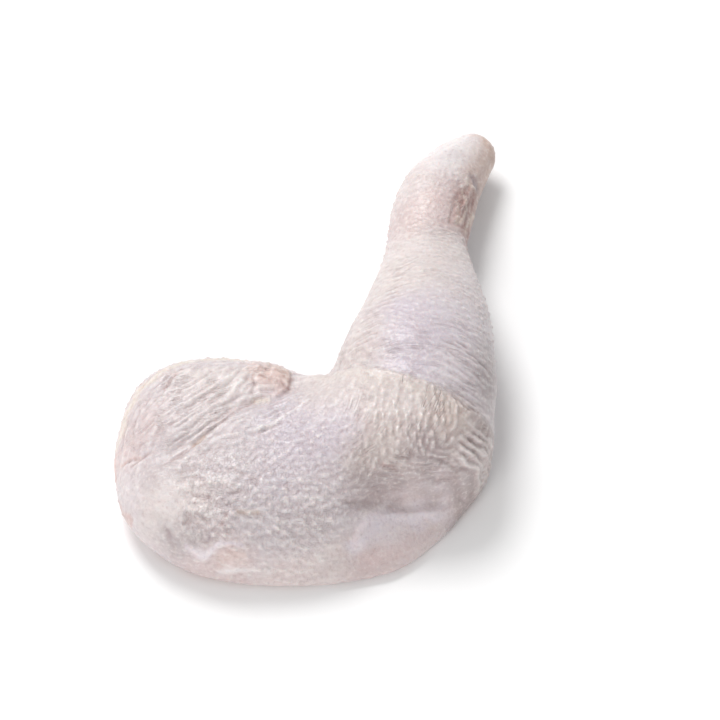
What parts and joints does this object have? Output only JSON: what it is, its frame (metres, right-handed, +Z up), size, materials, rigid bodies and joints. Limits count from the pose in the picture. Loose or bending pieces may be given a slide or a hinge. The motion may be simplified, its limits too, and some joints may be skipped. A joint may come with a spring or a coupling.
{
  "type": "raw chicken leg",
  "caption": "Raw chicken leg with thigh and drumstick joined under loose, pale, wrinkled skin, lying flat with its skin side up.",
  "frame": {"origin": "on the table, under the middle of the leg's box", "axes": "+Z up, +Y towards the end of the shank, -X towards the hip end of the thigh"},
  "size_m": [0.1336, 0.1858, 0.05],
  "materials": {
    "skin": "moist raw skin, pale pink and lavender with cream fat showing through, softly glossy, with fine wrinkles and follicle bumps"
  },
  "bodies": {
    "root": {"chicken_leg": "skin"}
  },
  "joints": []
}
